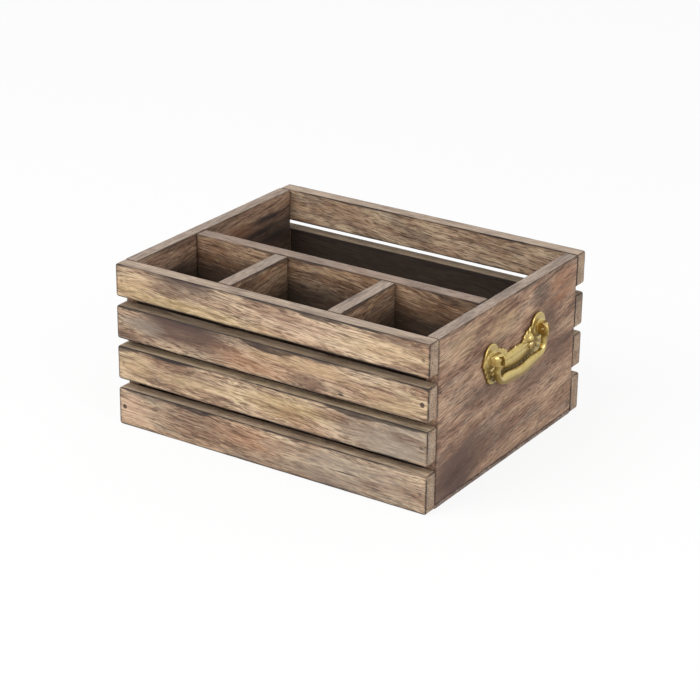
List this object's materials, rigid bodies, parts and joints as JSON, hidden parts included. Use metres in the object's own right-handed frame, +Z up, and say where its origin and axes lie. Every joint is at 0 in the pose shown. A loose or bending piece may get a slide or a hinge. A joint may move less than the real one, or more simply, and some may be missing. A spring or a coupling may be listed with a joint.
{
  "type": "slatted cutlery caddy",
  "caption": "Open slatted wooden cutlery caddy with small bays in front, one long bay behind, and an ornate brass drop handle on each end.",
  "frame": {"origin": "on the surface that the caddy stands on, under the middle of the crate", "axes": "+X along the slatted front towards the right-hand handle, +Y from the front bays to the rear bay, +Z up"},
  "size_m": [0.2786, 0.21, 0.122],
  "materials": {
    "outer_wood": "scorched and brushed mango wood, matt wax",
    "inner_wood": "scorched mango wood, darker, matt wax",
    "brass": "polished cast brass",
    "brad_steel": "dull nail heads sunk in the wood"
  },
  "bodies": {
    "crate": {"back_slat_bottom": "outer_wood", "back_slat_lower": "outer_wood", "back_slat_top": "outer_wood", "back_slat_upper": "outer_wood", "backplate_left": "brass", "backplate_right": "brass", "base_board": "inner_wood", "brad_back_bottom_left": "brad_steel", "brad_back_bottom_right": "brad_steel", "brad_back_lower_left": "brad_steel", "brad_back_lower_right": "brad_steel", "brad_back_top_left": "brad_steel", "brad_back_top_right": "brad_steel", "brad_back_upper_left": "brad_steel", "brad_back_upper_right": "brad_steel", "brad_base_cross_left": "brad_steel", "brad_base_cross_right": "brad_steel", "brad_base_divider_left": "brad_steel", "brad_base_divider_right": "brad_steel", "brad_base_left_back": "brad_steel", "brad_base_left_front": "brad_steel", "brad_base_right_back": "brad_steel", "brad_base_right_front": "brad_steel", "brad_cross_left_high": "brad_steel", "brad_cross_left_low": "brad_steel", "brad_cross_right_high": "brad_steel", "brad_cross_right_low": "brad_steel", "brad_divider_left": "brad_steel", "brad_divider_right": "brad_steel", "brad_front_bottom_left": "brad_steel", "brad_front_bottom_right": "brad_steel", "brad_front_lower_left": "brad_steel", "brad_front_lower_right": "brad_steel", "brad_front_top_left": "brad_steel", "brad_front_top_right": "brad_steel", "brad_front_upper_left": "brad_steel", "brad_front_upper_right": "brad_steel", "cross_divider_left": "inner_wood", "cross_divider_right": "inner_wood", "end_panel_left": "outer_wood", "end_panel_right": "outer_wood", "front_slat_bottom": "outer_wood", "front_slat_lower": "outer_wood", "front_slat_top": "outer_wood", "front_slat_upper": "outer_wood", "hinge_pin_left_back": "brass", "hinge_pin_left_front": "brass", "hinge_pin_right_back": "brass", "hinge_pin_right_front": "brass", "long_divider": "inner_wood", "plate_screw_left_back": "brass", "plate_screw_left_front": "brass", "plate_screw_right_back": "brass", "plate_screw_right_front": "brass"},
    "bail_right_body": {"bail_right": "brass"},
    "bail_left_body": {"bail_left": "brass"}
  },
  "joints": [
    {"name": "bail_right_hinge", "type": "hinge", "parent": "crate", "child": "bail_right_body", "pos_m": [0.1346, 0.0039, 0.0869], "axis": [0, -0.9996, -0.0297], "range_deg": [-5, 95]},
    {"name": "bail_left_hinge", "type": "hinge", "parent": "crate", "child": "bail_left_body", "pos_m": [-0.1346, 0.0039, 0.0869], "axis": [0, 0.9996, -0.0297], "range_deg": [-5, 95]}
  ]
}
